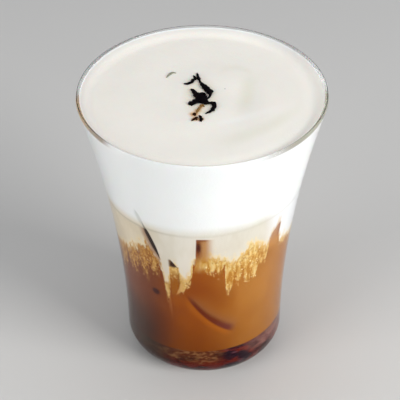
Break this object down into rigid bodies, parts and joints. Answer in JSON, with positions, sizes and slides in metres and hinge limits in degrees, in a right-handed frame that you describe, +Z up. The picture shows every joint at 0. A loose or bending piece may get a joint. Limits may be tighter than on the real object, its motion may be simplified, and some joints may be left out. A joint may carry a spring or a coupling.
{
  "type": "iced milk tea in a glass",
  "caption": "Iced milk tea in a clear flared glass: dark syrup, amber tea, cream running down in drips, a thick white foam cap and a pinch of curled tea leaves.",
  "frame": {"origin": "middle of the glass's flat foot, on the table", "axes": "+Z up along the glass's axis; -Y towards the side the picture shows; +X to its right"},
  "size_m": [0.09, 0.09, 0.112],
  "materials": {
    "clear_glass": "polished clear glass",
    "milk_foam": "soft white foam, matte",
    "cream": "milky cream, soft sheen",
    "milk_tea": "translucent milky tea",
    "dark_layer": "dark settled syrup, glossy",
    "black_leaf": "dry curled black leaf",
    "brown_leaf": "dry brown leaf stalk",
    "pale_leaf": "dry grey-green leaf"
  },
  "bodies": {
    "root": {"cream_layer": "cream", "dark_base_layer": "dark_layer", "glass": "clear_glass", "leaf_bit_left": "brown_leaf", "leaf_bit_right": "black_leaf", "leaf_cluster": "black_leaf", "leaf_sliver": "pale_leaf", "leaf_stalk": "brown_leaf", "leaf_upper": "black_leaf", "milk_foam": "milk_foam", "tea": "milk_tea"}
  },
  "joints": []
}
